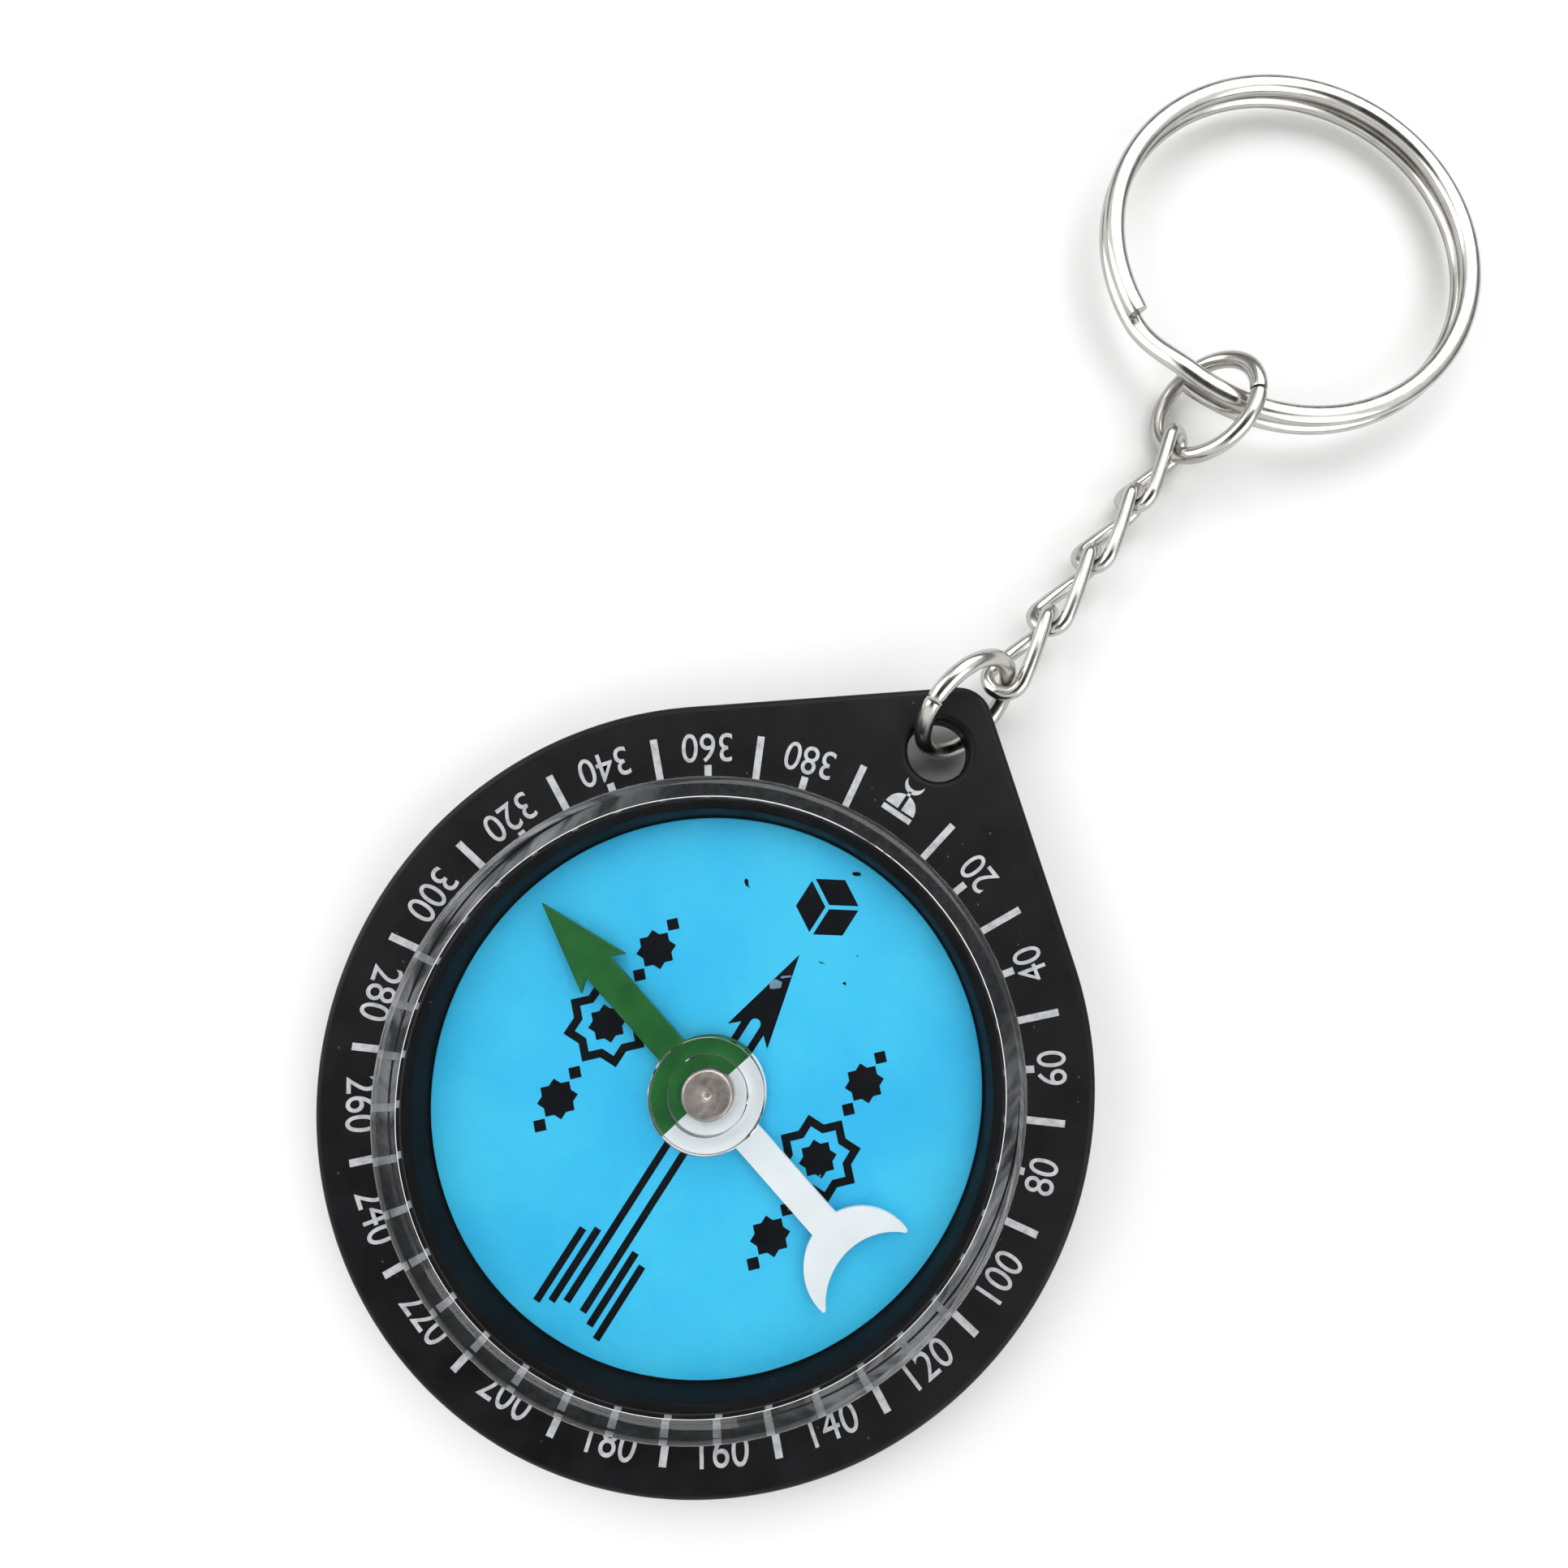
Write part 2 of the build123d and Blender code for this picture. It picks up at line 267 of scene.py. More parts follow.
def rounded_corner(radius, height, edge, steps=5):
    """Quarter-round profile points at an outer top corner, from its side to its top."""
    return arc((radius - edge, height - edge), edge, 0, 90, steps)


def prism(bm, loops, levels):
    """Solid between outlines: each loop gives its points for an inset, levels are (height, inset)."""
    ends = {0: [], len(levels) - 1: []}
    for loop in loops:
        rings = []
        for height, inset in levels:
            rings.append([bm.verts.new((x, y, height)) for x, y in loop(inset)])
        for ring, after in zip(rings, rings[1:]):
            bridge(bm, ring, after)
        for level in ends:
            ring = rings[level]
            for k in range(len(ring)):
                edge = bm.edges.get((ring[k], ring[(k + 1) % len(ring)]))
                ends[level].append(edge)
    for edges in ends.values():
        bmesh.ops.triangle_fill(bm, use_beauty=True, use_dissolve=False, edges=edges)


def flat_mark(bm, points, bottom, holes=(), thickness=INK):
    """Thin printed shape with straight sides."""
    loops = [lambda inset, outline=outline: outline for outline in (points, *holes)]
    prism(bm, loops, [(bottom, 0), (bottom + thickness, 0)])


def edge_levels(bottom, top, edge, steps=4):
    """Levels of a plate whose rims are rounded, with a narrow flat band beside each round."""
    turns = [pi / 2 * k / steps for k in range(steps + 1)]
    low = [(bottom, edge + BAND)]
    low += [(bottom + edge * (1 - cos(a)), edge * (1 - sin(a))) for a in turns]
    low += [(bottom + edge + BAND, 0)]
    return low + [(top + bottom - height, inset) for height, inset in reversed(low)]


def arc(centre, radius, start, end, steps):
    """Points on an arc in degrees, both ends included."""
    turns = [radians(start + (end - start) * k / steps) for k in range(steps + 1)]
    return [(centre[0] + radius * cos(a), centre[1] + radius * sin(a)) for a in turns]


def circle(centre, radius, steps=64):
    """Points on a full circle."""
    return arc(centre, radius, 0, 360 - 360 / steps, steps - 1)


def rotated(points, turn):
    """Points turned about the axis by degrees."""
    c, s = cos(radians(turn)), sin(radians(turn))
    return [(x * c - y * s, x * s + y * c) for x, y in points]


def bar(start, end, width):
    """Rectangle along a line."""
    ax, ay = start
    bx, by = end
    length = sqrt((bx - ax) ** 2 + (by - ay) ** 2)
    nx, ny = -(by - ay) / length * width / 2, (bx - ax) / length * width / 2
    return [(ax + nx, ay + ny), (ax - nx, ay - ny), (bx - nx, by - ny), (bx + nx, by + ny)]


def tube(name, points, radius, material, closed=False):
    """Round wire through points in millimetres, with slightly rounded ends when open."""
    curve = bpy.data.curves.new(name, "CURVE")
    curve.dimensions = "3D"
    curve.bevel_depth = radius * MM
    curve.bevel_resolution = 8
    curve.use_fill_caps = True
    curve.twist_mode = "MINIMUM"
    spline = curve.splines.new("POLY")
    spline.points.add(len(points) - 1)
    for spot, point in zip(spline.points, points):
        spot.co = (*(Vector(point) * MM), 1)
    spline.use_cyclic_u = closed
    if not closed:
        for k in (0, -1):
            spline.points[k].radius = 1 - WIRE_END_ROUND
    holder = bpy.data.objects.new(name + "_route", curve)
    mesh = bpy.data.meshes.new_from_object(holder)
    bpy.data.objects.remove(holder)
    mesh.name = name
    mesh.shade_smooth()
    mesh.set_sharp_from_angle(angle=radians(50))
    mesh.materials.clear()
    mesh.materials.append(material)
    obj = bpy.data.objects.new(name, mesh)
    bpy.context.scene.collection.objects.link(obj)
    return obj


# Material helpers


class Look:
    """A procedural material around one Principled shader, in object coordinates."""

    def __init__(self, name, **values):
        self.material = bpy.data.materials.new(name)
        self.material.use_nodes = True
        self.tree = self.material.node_tree
        self.shader = self.tree.nodes["Principled BSDF"]
        for socket, value in values.items():
            self.shader.inputs[socket.replace("_", " ")].default_value = value
        self.place = self.tree.nodes.new("ShaderNodeTexCoord").outputs["Object"]

    def node(self, kind, **settings):
        made = self.tree.nodes.new(kind)
        for key, value in settings.items():
            setattr(made, key, value)
        return made

    def link(self, out, socket):
        self.tree.links.new(out, socket)

    def noise(self, size, detail=4.0, rough=0.55, stretch=(1, 1, 1)):
        """Noise value with features of about this size in millimetres."""
        mapping = self.node("ShaderNodeMapping")
        mapping.inputs["Scale"].default_value = stretch
        self.link(self.place, mapping.inputs["Vector"])
        noise = self.node("ShaderNodeTexNoise")
        noise.inputs["Scale"].default_value = 1 / (size * MM)
        noise.inputs["Detail"].default_value = detail
        noise.inputs["Roughness"].default_value = rough
        self.link(mapping.outputs["Vector"], noise.inputs["Vector"])
        return noise.outputs["Fac"]

    def specks(self, spacing, share):
        """One for small round specks about this far apart, else zero."""
        cells = self.node("ShaderNodeTexVoronoi")
        cells.inputs["Scale"].default_value = 1 / (spacing * MM)
        self.link(self.place, cells.inputs["Vector"])
        return self.ramp(cells.outputs["Distance"], [(share * 0.6, (1, 1, 1)), (share, (0, 0, 0))])

    def ramp(self, value, stops):
        """Colour by value through (place, colour) stops."""
        ramp = self.node("ShaderNodeValToRGB")
        elements = ramp.color_ramp.elements
        while len(elements) < len(stops):
            elements.new(0.5)
        for element, (place, colour) in zip(elements, stops):
            element.position = place
            element.color = (*colour, 1)
        self.link(value, ramp.inputs["Fac"])
        return ramp.outputs["Color"]

    def mix(self, factor, first, second):
        """Mixes two colours; either may be a fixed colour or an output."""
        mix = self.node("ShaderNodeMix", data_type="RGBA")
        sockets = (mix.inputs["Factor"], mix.inputs[6], mix.inputs[7])
        for socket, value in zip(sockets, (factor, first, second)):
            if isinstance(value, tuple):
                socket.default_value = (*value, 1)
            elif isinstance(value, float):
                socket.default_value = value
            else:
                self.link(value, socket)
        return mix.outputs[2]

    def between(self, value, low, high):
        """Maps a 0.3 to 0.7 noise value to a range."""
        spread = self.node("ShaderNodeMapRange")
        spread.inputs["From Min"].default_value = 0.3
        spread.inputs["From Max"].default_value = 0.7
        spread.inputs["To Min"].default_value = low
        spread.inputs["To Max"].default_value = high
        self.link(value, spread.inputs["Value"])
        return spread.outputs["Result"]

    def colour(self, out):
        self.link(out, self.shader.inputs["Base Color"])

    def roughness(self, out):
        self.link(out, self.shader.inputs["Roughness"])

    def bump(self, height, depth, strength=0.5):
        """Bump of a real depth in millimetres."""
        bump = self.node("ShaderNodeBump")
        bump.inputs["Strength"].default_value = strength
        bump.inputs["Distance"].default_value = depth * MM
        self.link(height, bump.inputs["Height"])
        self.link(bump.outputs["Normal"], self.shader.inputs["Normal"])


# Materials


def black_plastic():
    look = Look("black_plastic", Specular_IOR_Level=0.13)
    tone = look.ramp(look.noise(3.0), [(0.35, (0.0022, 0.0022, 0.0026)), (0.7, (0.005, 0.0052, 0.006))])
    dust = look.specks(1.3, 0.06)
    look.colour(look.mix(dust, tone, (0.05, 0.05, 0.05)))
    look.roughness(look.between(look.noise(1.6), 0.36, 0.52))
    look.bump(look.noise(0.12, detail=2.0), 0.008, 0.3)
    return look.material


def pale_ink():
    look = Look("pale_ink")
    body = look.ramp(look.noise(0.5), [(0.3, (0.24, 0.25, 0.265)), (0.6, (0.38, 0.39, 0.405))])
    look.colour(body)
    look.roughness(look.between(look.noise(0.3), 0.5, 0.7))
    look.bump(look.noise(0.1), 0.005, 0.4)
    return look.material


def blue_card():
    look = Look("blue_card", Specular_IOR_Level=0.3)
    clouds = look.noise(7.0, detail=2.0)
    wide = look.ramp(clouds, [(0.35, (0.034, 0.57, 0.97)), (0.65, (0.056, 0.66, 1.0))])
    fine = look.noise(0.35, detail=3.0)
    grain = look.ramp(fine, [(0.3, (0.02, 0.42, 0.82)), (0.7, (0.10, 0.66, 1.0))])
    look.colour(look.mix(0.12, wide, grain))
    look.roughness(look.between(fine, 0.4, 0.55))
    look.bump(look.noise(0.25), 0.004, 0.3)
    return look.material


def black_ink():
    look = Look("black_ink", Specular_IOR_Level=0.1)
    tone = look.ramp(look.noise(0.8), [(0.3, (0.0015, 0.002, 0.004)), (0.75, (0.004, 0.005, 0.009))])
    chips = look.specks(1.7, 0.05)
    look.colour(look.mix(chips, tone, (0.06, 0.3, 0.5)))
    look.roughness(look.between(look.noise(0.3), 0.4, 0.6))
    look.bump(look.noise(0.12), 0.004, 0.3)
    return look.material


def clear_plastic():
    look = Look("clear_plastic", Transmission_Weight=1.0, IOR=1.49, Specular_Tint=(0.7, 0.7, 0.7, 1))
    look.colour(look.ramp(look.noise(9.0), [(0.3, (0.965, 0.98, 0.985)), (0.7, (0.985, 0.995, 1.0))]))
    look.roughness(look.between(look.noise(2.5, stretch=(1, 6, 1)), 0.0, 0.012))
    return look.material


def bond():
    """Bond of the lens wall on the base, dark, with a painted silvery sheen in streaks on the two
    sides.
    """
    look = Look("bond_line_painted_sheen", Specular_IOR_Level=0.2)
    parts = look.node("ShaderNodeSeparateXYZ")
    look.link(look.place, parts.inputs["Vector"])
    aside = look.node("ShaderNodeMath", operation="ABSOLUTE")
    look.link(parts.outputs["X"], aside.inputs[0])
    sheen_share = look.node("ShaderNodeMapRange")
    sheen_share.inputs["From Min"].default_value = BOND_SHEEN_START * MM
    sheen_share.inputs["From Max"].default_value = BOND_SHEEN_FULL * MM
    look.link(aside.outputs["Value"], sheen_share.inputs["Value"])
    streaks = look.noise(0.9, stretch=(1, 0.2, 1))
    # Painted sheen: silvery streaks that stand in for light on the lens wall's two sides
    painted_sheen = look.ramp(streaks, [(0.4, (0.05, 0.05, 0.053)), (0.6, (0.37, 0.37, 0.38))])
    plain = look.ramp(look.noise(0.4), [(0.35, (0.02, 0.021, 0.023)), (0.65, (0.045, 0.046, 0.048))])
    look.colour(look.mix(sheen_share.outputs["Result"], plain, painted_sheen))
    look.roughness(look.between(look.noise(0.3), 0.5, 0.7))
    return look.material


def paint(name, dark, light):
    look = Look(name, Specular_IOR_Level=0.4)
    look.colour(look.ramp(look.noise(1.8), [(0.3, dark), (0.7, light)]))
    look.roughness(look.between(look.noise(0.6), 0.3, 0.45))
    look.bump(look.noise(0.3, detail=2.0), 0.006, 0.3)
    return look.material


def cup_metal():
    look = Look("cup_metal", Metallic=1.0)
    tone = look.ramp(look.noise(0.7), [(0.3, (0.42, 0.36, 0.33)), (0.7, (0.62, 0.54, 0.50))])
    look.colour(tone)
    look.roughness(look.between(look.noise(0.25), 0.32, 0.5))
    turning = look.node("ShaderNodeTexWave", wave_type="RINGS", rings_direction="Z")
    turning.inputs["Scale"].default_value = 2.0 / MM
    turning.inputs["Distortion"].default_value = 0.6
    look.link(look.place, turning.inputs["Vector"])
    look.bump(turning.outputs["Fac"], 0.006, 0.35)
    return look.material


def nickel():
    look = Look("nickel_wire", Metallic=1.0)
    look.colour(look.ramp(look.noise(2.2), [(0.3, (0.42, 0.41, 0.385)), (0.7, (0.55, 0.54, 0.51))]))
    look.roughness(look.between(look.noise(0.8), 0.14, 0.26))
    look.bump(look.noise(0.5, detail=3.0), 0.01, 0.25)
    return look.material


def pin_steel():
    look = Look("pin_steel", Metallic=1.0)
    look.colour(look.ramp(look.noise(0.5), [(0.3, (0.45, 0.45, 0.46)), (0.7, (0.6, 0.6, 0.6))]))
    look.roughness(look.between(look.noise(0.2), 0.25, 0.4))
    return look.material


def studio_white():
    look = Look("studio_white", Roughness=0.9, Specular_IOR_Level=0.1)
    look.colour(look.ramp(look.noise(60.0), [(0.3, (0.60, 0.60, 0.60)), (0.7, (0.63, 0.63, 0.63))]))
    return look.material


# Pieces of the compass body


def drop_loop(inset):
    """Drop outline: body arc, tangents and tip arc, clockwise from the right tangent."""
    side = degrees(asin((BODY_R - TIP_R) / TIP_Y))
    body = arc((0, 0), BODY_R - inset, side, -180 - side, 180)
    tip = arc((0, TIP_Y), TIP_R - inset, 180 - side, side, 20)
    return body + tip


def hole_loop(inset):
    """Lanyard hole, wider by the inset."""
    return circle((0, HOLE_Y), HOLE_R + inset)


def base_body(material):
    """Drop-shaped plate with its foot below and the collar round the dial above."""
    bm = bmesh.new()
    prism(bm, [drop_loop, hole_loop], edge_levels(PLATE_BOTTOM, PLATE_TOP, PLATE_EDGE))
    inner_foot = FOOT_R - FOOT_RIM
    foot = [(0, 0), (FOOT_PAD_R - BASE_SOFT, 0), (FOOT_PAD_R, BASE_SOFT), (FOOT_PAD_R, FOOT_RECESS)]
    foot += [(inner_foot, FOOT_RECESS), (inner_foot, BASE_SOFT), (inner_foot + BASE_SOFT, 0)]
    foot += [(FOOT_R - BASE_SOFT, 0), (FOOT_R, BASE_SOFT), (FOOT_R, PLATE_BOTTOM), (0, PLATE_BOTTOM)]
    lathe(bm, foot)
    collar_foot = DIAL_R + DIAL_FIT
    mouth = collar_foot + COLLAR_FLARE
    collar = [(0, PLATE_TOP), (PLATFORM_R, PLATE_TOP)]
    collar += [(PLATFORM_R, COLLAR_TOP - BASE_SOFT), (PLATFORM_R - BASE_SOFT, COLLAR_TOP)]
    collar += [(mouth + out, COLLAR_TOP - down) for out, down in COLLAR_LIP]
    collar += [(collar_foot, PLATFORM_TOP), (0, PLATFORM_TOP)]
    lathe(bm, collar)
    return add_object("base_body", bm, material)


def number_mesh(bm, text, turn):
    """One printed number with its top towards the centre."""
    curve = bpy.data.curves.new("number", "FONT")
    curve.body = text
    curve.align_x = "CENTER"
    curve.resolution_u = 6
    depth = 0.5
    curve.extrude = depth
    curve.offset = NUMBER_WEIGHT
    holder = bpy.data.objects.new("number", curve)
    mesh = bpy.data.meshes.new_from_object(holder)
    bpy.data.objects.remove(holder)
    low = min(v.co.y for v in mesh.vertices)
    high = max(v.co.y for v in mesh.vertices)
    grow = NUMBER_H / (high - low)
    across = Vector((-sin(turn), cos(turn), 0))
    inward = Vector((-cos(turn), -sin(turn), 0))
    for v in mesh.vertices:
        x = v.co.x * grow * NUMBER_SQUEEZE
        y = (v.co.y - (low + high) / 2) * grow
        z = PLATE_TOP + (v.co.z + depth) * INK
        v.co = across * x + inward * (y - NUMBER_R) + Vector((0, 0, z))
    bm.from_mesh(mesh)


def tick(bm, mark, end):
    """Line at a mark of the scale, longer under the lens wall on one arc."""
    turn = pi / 2 - 2 * pi * mark / SCALE_END
    toward = Vector((cos(turn), sin(turn)))
    start = LADDER_START if LADDER_FIRST <= mark <= LADDER_LAST else TICK_START
    flat_mark(bm, bar(toward * start, toward * end, TICK_W), PLATE_TOP)


def scale_print(material):
    """Ticks, numbers and the zero mark on the base."""
    bm = bmesh.new()
    for mark in range(0, SCALE_END, SCALE_STEP):
        tick(bm, mark + SCALE_STEP / 2, LONG_TICK_END)
        if mark:
            tick(bm, mark, SHORT_TICK_END)
            number_mesh(bm, str(mark), pi / 2 - 2 * pi * mark / SCALE_END)
    dome_mark(bm)
    return add_object("scale_print", bm, material)


def dome_mark(bm):
    """Zero mark: a dome on a low drum with a crescent over it."""
    drum_y = ZERO_Y + DRUM_H / 2
    flat_mark(bm, bar((-DRUM_HALF_W, drum_y), (DRUM_HALF_W, drum_y), DRUM_H), PLATE_TOP)
    dome_y = ZERO_Y + DOME_LIFT
    quarter = [(DOME_SLIT, dome_y)] + arc((0, dome_y), DOME_R, 0, DOME_ARC, 16)
    for side in (1, -1):
        flat_mark(bm, [(x * side, y) for x, y in quarter], PLATE_TOP)
    moon_y = dome_y + CRESCENT_LIFT
    outer = arc((0, moon_y), CRESCENT_R, *CRESCENT_ARC, 24)
    inner = arc((0, moon_y + CRESCENT_CUT_LIFT), CRESCENT_CUT_R, *CRESCENT_CUT_ARC, 20)
    flat_mark(bm, outer + inner, PLATE_TOP)
    flat_mark(bm, bar((0, dome_y + FINIAL_START), (0, dome_y + FINIAL_END), FINIAL_W), PLATE_TOP)


def dial_card(material):
    """Card with a hole for the bearing's neck."""
    bm = bmesh.new()
    card = [(NECK_R, PLATFORM_TOP), (DIAL_R, PLATFORM_TOP), (DIAL_R, DIAL_TOP - DIAL_EDGE)]
    card += [(DIAL_R - DIAL_EDGE, DIAL_TOP), (NECK_R, DIAL_TOP)]
    lathe(bm, card)
    return add_object("dial_card", bm, material)


def star_points(centre, outer, tips=8):
    """Star of two crossed squares."""
    inner = outer * cos(pi / 4) / cos(pi / 8)
    points = []
    for k in range(2 * tips):
        radius = outer if k % 2 == 0 else inner
        a = pi * k / tips
        points.append((centre[0] + radius * cos(a), centre[1] + radius * sin(a)))
    return points


def diamond(centre, size):
    """Square on its corner."""
    x, y = centre
    return [(x + size, y), (x, y + size), (x - size, y), (x, y - size)]


def dial_print(material):
    """Arrow, cube and plain star ornaments in black."""
    bm = bmesh.new()
    arrow_print(bm)
    cube_print(bm)
    for x in (STAR_X, -STAR_X):
        flat_mark(bm, star_points((x, 0), STAR_R), DIAL_TOP, [star_points((x, 0), STAR_HOLE_R)])
        flat_mark(bm, star_points((x, 0), STAR_CORE_R), DIAL_TOP)
        for end in (1, -1):
            flat_mark(bm, star_points((x, SMALL_STAR_Y * end), SMALL_STAR_R), DIAL_TOP)
            for y in DIAMOND_PLACES:
                flat_mark(bm, diamond((x, y * end), DIAMOND_R), DIAL_TOP)
    bmesh.ops.rotate(bm, matrix=Matrix.Rotation(radians(PRINT_TURN), 3, "Z"), verts=bm.verts)
    bmesh.ops.translate(bm, vec=(PRINT_SHIFT, 0, 0), verts=bm.verts)
    for outline in DIAL_SPECKS:
        flat_mark(bm, outline, DIAL_TOP)
    return add_object("dial_print", bm, material)


def dial_wear(material):
    """Places where the arrow's ink is worn to the card."""
    bm = bmesh.new()
    for outline in WORN_SPOTS:
        flat_mark(bm, outline, DIAL_TOP, thickness=2 * INK)
    return add_object("dial_wear", bm, material)


def arrow_print(bm):
    """Arrow along +Y with a forked head, a double shaft and staggered tail lines."""
    line, shaft_x, spacing = 0.42, 0.53, 0.71
    inner, outer = shaft_x - line / 2, shaft_x + line / 2
    tip_y, slot_y, notch_y, barb_y, neck_y = 9.05, 4.7, 4.1, 3.57, 3.4
    barb_x, notch_x = 1.35, outer + 0.02
    right_half = [(0, tip_y), (barb_x, barb_y), (notch_x, notch_y), (outer, neck_y), (inner, neck_y)]
    slot = arc((0, slot_y - inner), inner, 0, 180, 10)
    left_half = [(-x, y) for x, y in reversed(right_half[1:])]
    flat_mark(bm, right_half + slot + left_half, DIAL_TOP)
    tail_start, tail_end, stagger = -9.07, -13.53, 0.41
    for side in (1, -1):
        flat_mark(bm, bar((shaft_x * side, neck_y), (shaft_x * side, tail_end), line), DIAL_TOP)
        for k in (1, 2):
            x, drop = (shaft_x + spacing * k) * side, stagger * k
            flat_mark(bm, bar((x, tail_start - drop), (x, tail_end - drop), line), DIAL_TOP)


def cube_print(bm):
    """Cube seen from a corner: three faces with fine gaps."""
    centre, size, gap = Vector((-0.1, 12.2)), 2.0, 0.14
    shrink = 1 - gap / size * 2
    for k in range(3):
        first = 30 + 120 * k
        corners = [Vector((0, 0))]
        corners += [Vector(spot) for spot in arc((0, 0), size, first, first + 120, 2)]
        middle = sum(corners, Vector((0, 0))) / len(corners)
        face = [centre + middle.lerp(corner, shrink) for corner in corners]
        flat_mark(bm, face, DIAL_TOP)


def lens_cap(material):
    """Clear cap with rounded rim, and the hollow boss under its middle."""
    under = LENS_TOP - LENS_PLATE
    foot = PLATE_TOP + LENS_LIFT
    inner = LENS_R - LENS_WALL
    boss_low = BLADE_TOP + BOSS_GAP
    bore = BOSS_R - BOSS_WALL
    profile = [(0, under), (bore, under), (bore, boss_low + LENS_SOFT), (bore + LENS_SOFT, boss_low)]
    profile += [(BOSS_R - LENS_SOFT, boss_low), (BOSS_R, boss_low + LENS_SOFT)]
    profile += [(BOSS_R, under - LENS_SOFT), (BOSS_R + LENS_SOFT, under)]
    profile += [(inner - LENS_SOFT, under), (inner, under - LENS_SOFT), (inner, foot)]
    profile += [(LENS_R, foot), (LENS_R, LENS_TOP - LENS_EDGE - BAND)]
    profile += rounded_corner(LENS_R, LENS_TOP, LENS_EDGE)
    profile += [(LENS_R - LENS_EDGE - BAND, LENS_TOP), (0, LENS_TOP)]
    bm = bmesh.new()
    lathe(bm, profile, steps=256)
    return add_object("lens_cap", bm, material, smooth_angle=30)


def bond_ring(material):
    """Thin bond under the lens wall, seen through it; its material paints a silvery sheen on the two
    sides.
    """
    bm = bmesh.new()
    inner, outer = LENS_R - LENS_WALL + BOND_INSET, LENS_R - BOND_INSET
    low, high = PLATE_TOP, PLATE_TOP + INK / 2
    lathe(bm, [(inner, low), (outer, low), (outer, high), (inner, high)])
    return add_object("bond_ring", bm, material)


# Needle


def hub_arc(first, last, steps=24):
    """Arc on the blade's round middle."""
    return arc((0, 0), HUB_R, first, last, steps)


def needle_solid(name, outline, material):
    """Sheet-metal half of the needle, turned to its heading, with broken edges."""
    bm = bmesh.new()
    points = rotated(outline, NEEDLE_HEADING)
    flat_mark(bm, points, BLADE_BOTTOM, thickness=BLADE_TOP - BLADE_BOTTOM)
    obj = add_object(name, bm, material)
    bevel = obj.modifiers.new("edge", "BEVEL")
    bevel.width = NEEDLE_EDGE * MM
    bevel.segments = 2
    bevel.limit_method = "ANGLE"
    bevel.harden_normals = True
    bevel.angle_limit = radians(50)
    return obj


def needle_arrow(material):
    """Arrow half, towards +X before it is turned."""
    half = SHAFT_W / 2
    root = degrees(asin(half / HUB_R))
    base = ARROW_REACH - ARROW_LENGTH
    barb_x, barb_y = base - ARROW_BARB, ARROW_W / 2
    outline = hub_arc(-90, -root)
    outline += [(base, -half), (barb_x, -barb_y), (ARROW_REACH, 0), (barb_x, barb_y), (base, half)]
    outline += hub_arc(root, 90)
    outline += arc((0, 0), NECK_R, 90, -90, 16)
    return needle_solid("needle_arrow", outline, material)


def meet(distance, radius, reach):
    """Angle on a circle, seen from its own centre, where it crosses the reach circle."""
    x = (reach**2 + distance**2 - radius**2) / (2 * distance)
    return degrees(acos((x - distance) / radius))


def needle_tail(material):
    """Tail half with its crescent, towards -X before it is turned."""
    half = SHAFT_W / 2
    root = degrees(asin(half / HUB_R))
    moon_x = MOON_BACK + MOON_R
    cut_x = MOON_BACK + MOON_THICK + MOON_CUT_R
    horn = meet(moon_x, MOON_R, HORN_REACH)
    tooth = meet(cut_x, MOON_CUT_R, HORN_REACH)
    join = degrees(asin(half / MOON_R))
    upper = arc((moon_x, 0), MOON_R, 180 - join, horn, 24)
    inside = arc((cut_x, 0), MOON_CUT_R, tooth, 360 - tooth, 32)
    lower = arc((moon_x, 0), MOON_R, 360 - horn, 180 + join, 24)
    outline = hub_arc(90, root) + upper + inside + lower + hub_arc(-root, -90)
    outline += arc((0, 0), NECK_R, -90, 90, 16)
    return needle_solid("needle_tail", [(-x, y) for x, y in outline], material)


def bearing(material):
    """Turned cup with a dimple on top, over the pin."""
    roof = CUP_TOP - CUP_ROOF
    profile = [(radius, CUP_TOP - depth) for radius, depth in CUP_DIMPLE]
    profile += reversed(rounded_corner(CUP_R, CUP_TOP, CUP_SOFT))
    profile += [(CUP_R, BLADE_TOP), (NECK_R, BLADE_TOP), (NECK_R, CUP_BOTTOM)]
    profile += [(CUP_BORE, CUP_BOTTOM), (CUP_BORE, roof), (0, roof)]
    bm = bmesh.new()
    lathe(bm, profile, steps=96)
    return add_object("bearing", bm, material)


# Chain and rings


def node_middle(name):
    """Middle of a node's box, in millimetres."""
    low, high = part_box(name)
    return (low + high) / 2 / MM


def ring_points(centre, along, up, seam_turn, steps=120):
    """Centreline of a jump ring with its seam."""
    start = seam_turn + RING_SEAM / 2
    sweep = 360 - RING_SEAM
    turns = [radians(start + sweep * k / steps) for k in range(steps + 1)]
    return [centre + (along * cos(a) + up * sin(a)) * RING_R for a in turns]


def link_points(centre, side, axis, roll, steps=24):
    """Centreline of a twisted link."""
    straight = LINK_HALF_LENGTH - LINK_HALF_WIDTH
    plan = []
    for sign in (1, -1):
        for x, y in arc((0, straight), LINK_HALF_WIDTH, 0, 180, steps):
            plan.append((x * sign, y * sign))
        for k in range(1, steps):
            plan.append((-LINK_HALF_WIDTH * sign, straight * (1 - 2 * k / steps) * sign))
    lift = side.cross(axis)
    points = []
    for x, y in plan:
        turn = radians(roll + LINK_TWIST * y / (2 * LINK_HALF_LENGTH))
        points.append(centre + side * (x * cos(turn)) + axis * y + lift * (x * sin(turn)))
    return points


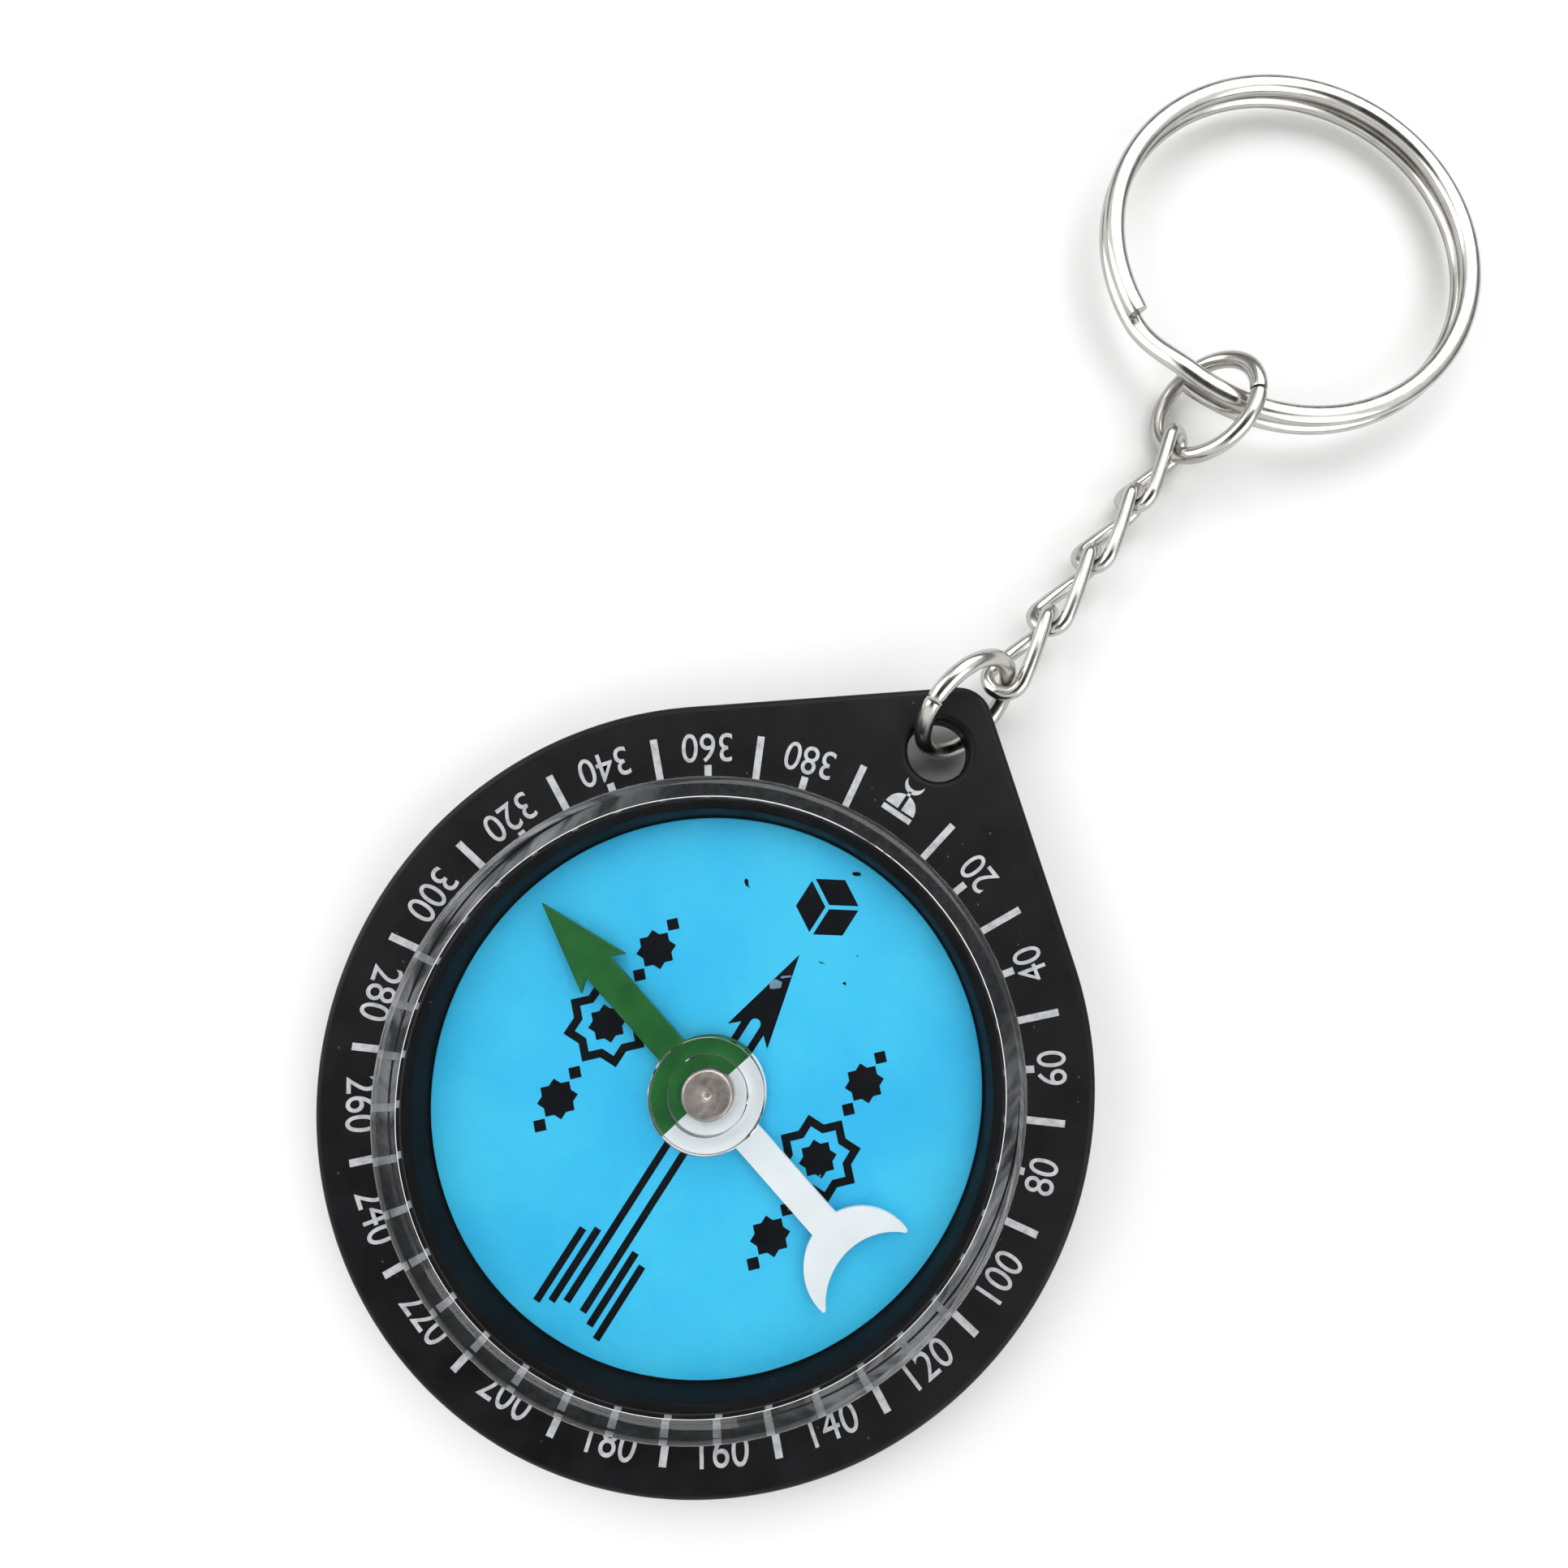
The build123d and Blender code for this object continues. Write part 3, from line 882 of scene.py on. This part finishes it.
def split_wire(name, centre, normal, material, sides=28, steps=150, slope_steps=24):
    """Split ring of flattened wire: upper turn, slope and lower turn."""
    sweep = 360 + SPLIT_GAP_END - SPLIT_GAP_START
    route = [(SPLIT_GAP_START + sweep * (1 - k / steps), 1.0) for k in range(steps)]
    for k in range(slope_steps + 1):
        share = k / slope_steps
        route.append((SPLIT_GAP_START + (SPLIT_GAP_END - SPLIT_GAP_START) * share, cos(pi * share)))
    route += [(SPLIT_GAP_END - sweep * k / steps, -1.0) for k in range(1, steps + 1)]
    right = Vector((1, 0, 0))
    ahead = normal.cross(right)
    bm = bmesh.new()
    rings = []
    for k, (turn, layer) in enumerate(route):
        out = right * cos(radians(turn)) + ahead * sin(radians(turn))
        spot = centre + out * SPLIT_R + normal * (layer * SPLIT_TURN / 2)
        size = SPLIT_END_SIZE if k in (0, len(route) - 1) else 1.0
        ring = []
        for j in range(sides):
            a = 2 * pi * j / sides
            across = out * (SPLIT_HALF_WIDTH * cos(a)) + normal * (SPLIT_HALF_HEIGHT * sin(a))
            ring.append(bm.verts.new(spot + across * size))
        rings.append(ring)
    for ring, after in zip(rings, rings[1:]):
        bridge(bm, ring, after)
    bm.faces.new(rings[0])
    bm.faces.new(rings[-1])
    return add_object(name, bm, material, smooth_angle=50)


# Materials and pieces put on their bodies
black = black_plastic()
pale = pale_ink()
blue = blue_card()
ink = black_ink()
worn = paint("worn_ink", (0.13, 0.24, 0.33), (0.24, 0.38, 0.47))
clear = clear_plastic()
green = paint("green_paint", (0.008, 0.105, 0.018), (0.014, 0.155, 0.026))
white = paint("white_paint", (0.86, 0.90, 0.91), (0.93, 0.96, 0.97))
metal = cup_metal()
wire = nickel()

compass_pieces = [
    (base_body(black), "black_plastic", "base_plate"),
    (scale_print(pale), "black_plastic", None),
    (dial_card(blue), "blue_card", "dial_disc"),
    (dial_print(ink), "blue_card", None),
    (dial_wear(worn), "blue_card", None),
    # The bond ring's material paints a silvery sheen on its two sides
    (bond_ring(bond()), "black_plastic", None),
    (lens_cap(clear), "clear_plastic", "lens"),
]
for piece, slot, node in compass_pieces:
    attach(piece, "compass")
    if node:
        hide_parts(node)

arrow = needle_arrow(green)
tail = needle_tail(white)
cup = bearing(metal)
for piece, slot in ((arrow, "painted_needle"), (tail, "painted_needle"), (cup, "brass")):
    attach(piece, "needle")
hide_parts("needle_blade")
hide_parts("bearing_cup")
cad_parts["pivot_pin"].data.materials.clear()
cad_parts["pivot_pin"].data.materials.append(pin_steel())

# Directions of the rings and the chain
lean, heading = radians(LOWER_LEAN), radians(LOWER_HEADING)
lower_along = Vector((-sin(heading), cos(heading), 0))
lower_up = Vector((-cos(lean) * cos(heading), -cos(lean) * sin(heading), sin(lean)))
tilt, heading = radians(UPPER_TILT), radians(UPPER_HEADING)
upper_along = Vector((cos(tilt) * cos(heading), cos(tilt) * sin(heading), sin(tilt)))
upper_up = Vector((-sin(heading), cos(heading), 0))
first_link, last_link = node_middle("chain_link_1"), node_middle("chain_link_%d" % LINK_COUNT)
chain_axis = (last_link - first_link).normalized()
chain_side = Vector((chain_axis.y, -chain_axis.x, 0)).normalized()
split_normal = Vector((0, SPLIT_SLOPE, 1)).normalized()

wires = []
for body, node, along, up, seam in (
    ("lower_ring", "lower_jump_ring", lower_along, lower_up, LOWER_SEAM_AT),
    ("upper_ring", "upper_jump_ring", upper_along, upper_up, UPPER_SEAM_AT),
):
    points = ring_points(node_middle(node), along, up, seam)
    wires.append((tube(node + "_wire", points, RING_WIRE_R, wire), body, node))
for k in range(LINK_COUNT):
    body, node = "link_%d" % (k + 1), "chain_link_%d" % (k + 1)
    middle = first_link.lerp(last_link, k / (LINK_COUNT - 1))
    points = link_points(middle, chain_side, chain_axis, LINK_ROLL + LINK_ROLL_STEP * k)
    wires.append((tube(node + "_wire", points, LINK_WIRE_R, wire, closed=True), body, node))
split = split_wire("split_ring_wire", node_middle("split_ring"), split_normal, wire)
wires.append((split, "key_ring", "split_ring"))
for piece, body, node in wires:
    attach(piece, body)
    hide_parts(node)


# Stage, light and camera


def floor(material):
    """Plain square at the resting plane."""
    bm = bmesh.new()
    corners = ((-1, -1), (1, -1), (1, 1), (-1, 1))
    bm.faces.new([bm.verts.new((x * FLOOR_HALF, y * FLOOR_HALF, 0)) for x, y in corners])
    return add_object("floor", bm, material)


def soft_light(name, place, aim, width, power):
    """Square softbox that faces a point, places in millimetres."""
    light = bpy.data.lights.new(name, "AREA")
    light.shape = "SQUARE"
    light.size = width * MM
    light.energy = power
    obj = bpy.data.objects.new(name, light)
    bpy.context.scene.collection.objects.link(obj)
    obj.location = Vector(place) * MM
    obj.rotation_euler = (Vector(aim) - Vector(place)).to_track_quat("-Z", "Y").to_euler()


def studio_world():
    """Soft sky, bright in a band, dark towards the horizon and in a patch round its axis."""
    world = bpy.data.worlds.new("studio")
    bpy.context.scene.world = world
    world.use_nodes = True
    tree = world.node_tree
    place = tree.nodes.new("ShaderNodeTexCoord")
    along = tree.nodes.new("ShaderNodeVectorMath")
    along.operation = "DOT_PRODUCT"
    along.inputs[1].default_value = SKY_AXIS
    ramp = tree.nodes.new("ShaderNodeValToRGB")
    tree.links.new(place.outputs["Generated"], along.inputs[0])
    tree.links.new(along.outputs["Value"], ramp.inputs["Fac"])
    tree.links.new(ramp.outputs["Color"], tree.nodes["Background"].inputs["Color"])
    elements = ramp.color_ramp.elements
    while len(elements) < len(SKY):
        elements.new(0.5)
    for element, (height, grey) in zip(elements, SKY):
        element.position = height
        element.color = (grey, grey, grey, 1)
    tree.nodes["Background"].inputs["Strength"].default_value = 1.0


floor(studio_white())
studio_world()
for softbox in SOFTBOXES:
    soft_light(*softbox)

camera_data = bpy.data.cameras.new("camera")
camera_data.sensor_width = SENSOR
camera_data.lens = FOCAL
camera_data.shift_x = SHIFT_X
camera_data.shift_y = SHIFT_Y
camera_data.clip_start = CLIP_START * MM
camera = bpy.data.objects.new("camera", camera_data)
turn = Matrix((Vector(EYE_RIGHT), -Vector(EYE_DOWN), -Vector(EYE_AHEAD))).transposed().to_4x4()
camera.matrix_world = Matrix.Translation(Vector(EYE) * MM) @ turn
bpy.context.scene.collection.objects.link(camera)
bpy.context.scene.camera = camera
bpy.context.scene.view_settings.view_transform = "Standard"
